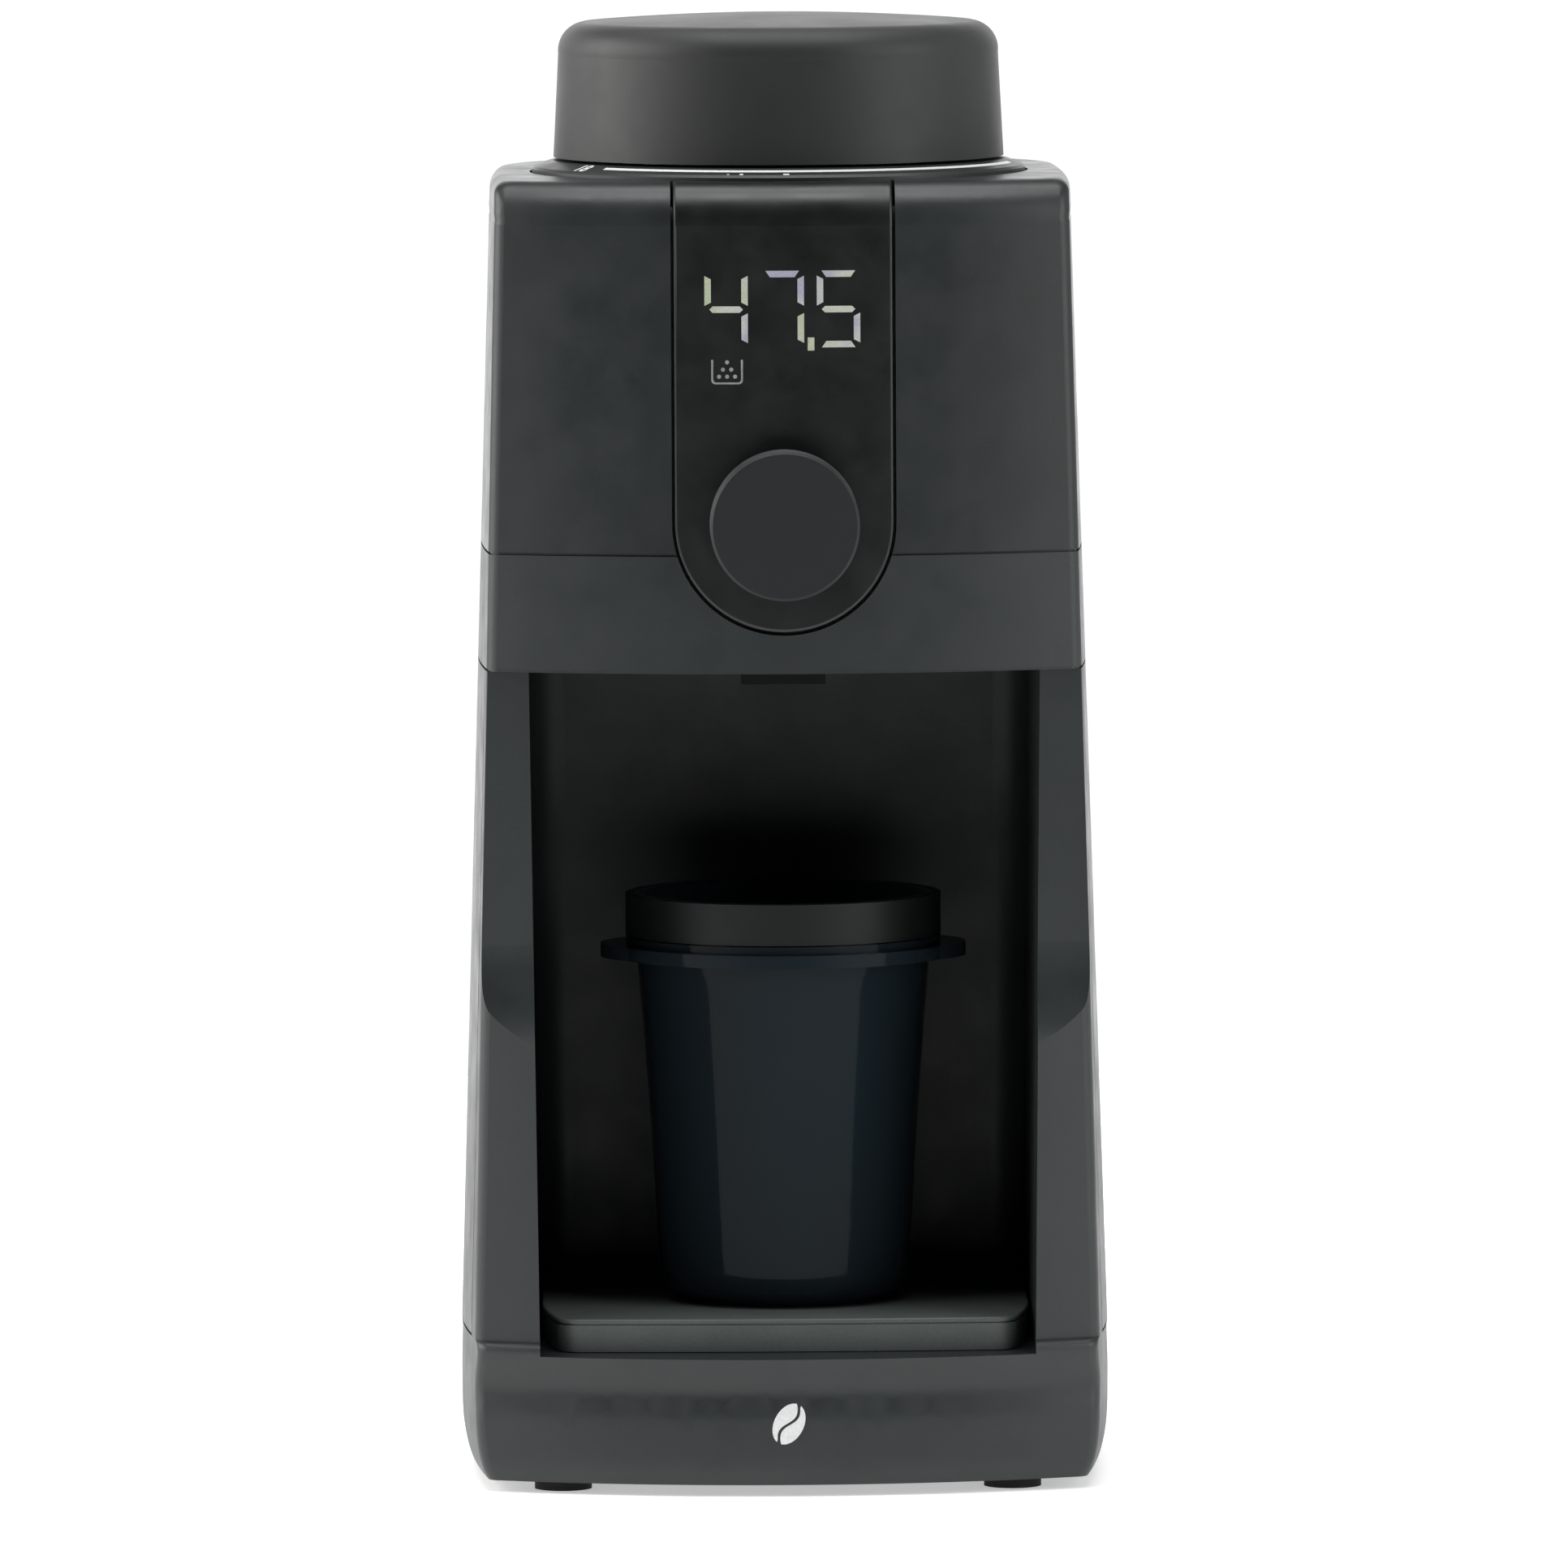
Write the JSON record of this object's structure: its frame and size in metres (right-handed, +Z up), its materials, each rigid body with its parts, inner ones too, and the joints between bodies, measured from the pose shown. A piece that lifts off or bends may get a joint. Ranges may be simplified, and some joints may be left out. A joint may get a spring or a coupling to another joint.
{
  "type": "burr coffee grinder",
  "caption": "Upright burr coffee grinder with an open cup bay, timer display, push-and-turn dial, grind-setting ring, lidded bean hopper and a dosing cup on a sliding tray.",
  "frame": {"origin": "centre of the bounding box's bottom face, on the table", "axes": "+Z up; the front, with the display, dial and cup bay, faces -Y; +X is to the right as seen from the front"},
  "size_m": [0.148, 0.1806, 0.3326],
  "materials": {
    "body_black": "fine-grained soft satin black",
    "rear_black": "fine-grained soft satin black",
    "panel_black": "smoked, low-sheen black that lets the display shine through",
    "liner_black": "plain dark black",
    "ring_black": "satin black with white print",
    "lid_soft_touch": "soft-touch matt black",
    "dial_black": "matt black, bright edge",
    "tray_black": "textured matt black",
    "cup_smoke": "smoky blue-grey translucent copolyester",
    "hopper_smoke": "smoky translucent copolyester",
    "adapter_black": "matt black",
    "rubber_black": "matt",
    "seal_grey": "matt silicone",
    "chassis_grey": "moulded, glass-filled",
    "gear_nylon": "natural nylon",
    "steel": "turned",
    "burr_steel": "hardened, ground",
    "brass": "turned",
    "magnet": "sintered ferrite",
    "board_green": "solder-masked",
    "led_black": "moulded"
  },
  "bodies": {
    "chassis": {"main_frame": "body_black", "rear_shell": "rear_black", "cavity_liner": "liner_black", "base_plate": "chassis_grey", "rubber_feet": "rubber_black", "base_screws": "steel", "lower_head_shell": "body_black", "top_housing": "body_black", "display_panel": "panel_black", "display_board": "board_green", "led_display": "led_black", "encoder_body": "chassis_grey", "encoder_bushing": "brass", "idler_pin": "steel", "gearbox_base": "chassis_grey", "gearbox_cover": "chassis_grey", "bearing_lower": "steel", "bearing_upper": "steel", "shaft_seal": "seal_grey", "motor_can": "steel", "motor_end_cap": "chassis_grey", "motor_magnets": "magnet", "burr_chamber": "chassis_grey", "grounds_chute": "liner_black", "click_spring": "steel", "hopper_switch": "led_black", "power_board": "board_green", "control_board": "board_green", "cord_gland": "rubber_black"},
    "burr_spindle": {"main_shaft": "steel", "main_gear": "gear_nylon", "paddle_rotor": "chassis_grey", "cone_burr": "burr_steel", "burr_nut": "steel"},
    "idler": {"idler_gear": "gear_nylon"},
    "motor_rotor": {"motor_shaft": "steel", "motor_pinion": "steel", "motor_armature": "steel"},
    "burr_carrier": {"ring_burr": "burr_steel", "ring_burr_holder": "chassis_grey"},
    "grind_ring": {"adjustment_ring": "ring_black"},
    "bean_hopper": {"hopper": "hopper_smoke", "hopper_gasket": "seal_grey"},
    "lid_cap": {"lid": "lid_soft_touch", "lid_seal": "seal_grey"},
    "dial_plunger": {"encoder_plunger": "steel"},
    "dial": {"dial_knob": "dial_black", "encoder_shaft": "steel"},
    "tray_slide": {"tray": "tray_black"},
    "cup": {"dosing_cup": "cup_smoke"},
    "cup_ring": {"cup_adapter_ring": "adapter_black"}
  },
  "joints": [
    {"name": "burr_spin", "type": "hinge", "parent": "chassis", "child": "burr_spindle", "pos_m": [0, -0.01119, 0.22], "axis": [0, 0, 1], "continuous": true},
    {"name": "idler_spin", "type": "hinge", "parent": "chassis", "child": "idler", "pos_m": [0, 0.02081, 0.2], "axis": [0, 0, 1], "continuous": true},
    {"name": "motor_spin", "type": "hinge", "parent": "chassis", "child": "motor_rotor", "pos_m": [0, 0.05281, 0.2], "axis": [0, 0, 1], "continuous": true},
    {"name": "grind_setting", "type": "hinge", "parent": "chassis", "child": "grind_ring", "pos_m": [0, -0.01119, 0.297], "axis": [0, 0, 1], "range_deg": [-150, 150]},
    {"name": "burr_gap", "type": "slide", "parent": "chassis", "child": "burr_carrier", "axis": [0, 0, 1], "range_m": [-0.0008, 0.0008]},
    {"name": "hopper_lift", "type": "slide", "parent": "grind_ring", "child": "bean_hopper", "axis": [0, 0, 1], "range_m": [0, 0.06]},
    {"name": "lid_lift", "type": "slide", "parent": "bean_hopper", "child": "lid_cap", "axis": [0, 0, 1], "range_m": [0, 0.05]},
    {"name": "dial_press", "type": "slide", "parent": "chassis", "child": "dial_plunger", "axis": [0, 1, 0], "range_m": [0, 0.0008], "stiffness_N_per_m": 800},
    {"name": "dial_turn", "type": "hinge", "parent": "dial_plunger", "child": "dial", "pos_m": [0, -0.08569, 0.22], "axis": [0, 1, 0], "continuous": true},
    {"name": "tray_slide_out", "type": "slide", "parent": "chassis", "child": "tray_slide", "axis": [0, -1, 0], "range_m": [0, 0.115]},
    {"name": "cup_slide_out", "type": "slide", "parent": "tray_slide", "child": "cup", "axis": [0, -1, 0], "range_m": [0, 0.16]},
    {"name": "cup_ring_lift", "type": "slide", "parent": "cup", "child": "cup_ring", "axis": [0, 0, 1], "range_m": [0, 0.03]}
  ],
  "couplings": [
    {"joint": "idler_spin", "follows": "burr_spin", "ratio": -2.2},
    {"joint": "motor_spin", "follows": "burr_spin", "ratio": 7.8571},
    {"joint": "burr_gap", "follows": "grind_setting", "m_per_rad": 0.0003}
  ]
}
